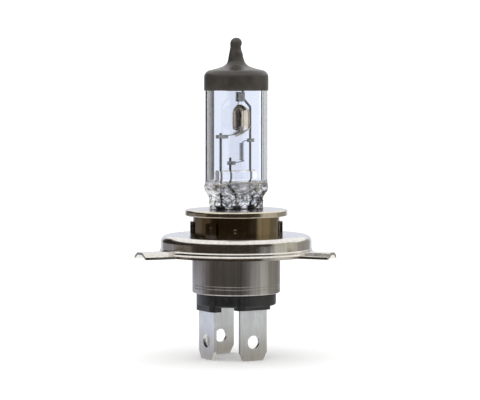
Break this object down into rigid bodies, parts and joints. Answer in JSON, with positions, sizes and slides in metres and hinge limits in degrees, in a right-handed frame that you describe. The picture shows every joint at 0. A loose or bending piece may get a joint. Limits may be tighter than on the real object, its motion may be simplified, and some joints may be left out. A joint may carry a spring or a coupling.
{
  "type": "headlight bulb",
  "caption": "Twin-filament halogen headlight bulb: clear glass capsule with a black tip on a flanged steel base with lugs and blade terminals.",
  "frame": {"origin": "where the bulb's axis crosses the reference plane, the seating side of the ring's lugs", "axes": "+Z along the bulb's axis to the glass tip, -X to the wide reference lug, the flat glass seal in the XZ plane"},
  "size_m": [0.0476, 0.0496, 0.081],
  "materials": {
    "glass": "clear, polished",
    "quartz": "clear, fire-polished",
    "coating": "satin black paint, baked on",
    "shield_metal": "drawn molybdenum, satin",
    "lead_metal": "drawn molybdenum wire, dark satin",
    "clip_metal": "rolled strip, satin",
    "tungsten": "drawn tungsten wire",
    "holder_metal": "stamped stainless steel, bright",
    "shell_metal": "drawn stainless steel, fine upright grain",
    "ring_metal": "stamped stainless steel, bright",
    "insulator": "black moulded insulator, satin",
    "blade_metal": "plated sheet, light satin"
  },
  "bodies": {
    "root": {"glass_bulb": "glass", "quartz_bridge": "quartz", "anti_glare_cap": "coating", "dipped_beam_shield": "shield_metal", "low_beam_lead": "lead_metal", "high_beam_lead": "lead_metal", "common_lead": "lead_metal", "low_beam_foil": "lead_metal", "high_beam_foil": "lead_metal", "common_foil": "lead_metal", "low_beam_tail": "lead_metal", "high_beam_tail": "lead_metal", "ground_tail": "lead_metal", "low_beam_clip": "clip_metal", "high_beam_clip": "clip_metal", "common_clip": "clip_metal", "shield_clip": "clip_metal", "low_beam_filament": "tungsten", "high_beam_filament": "tungsten", "capsule_holder": "holder_metal", "base_shell": "shell_metal", "prefocus_ring": "ring_metal", "insulator": "insulator", "low_beam_blade": "blade_metal", "high_beam_blade": "blade_metal", "ground_blade": "blade_metal"}
  },
  "joints": []
}
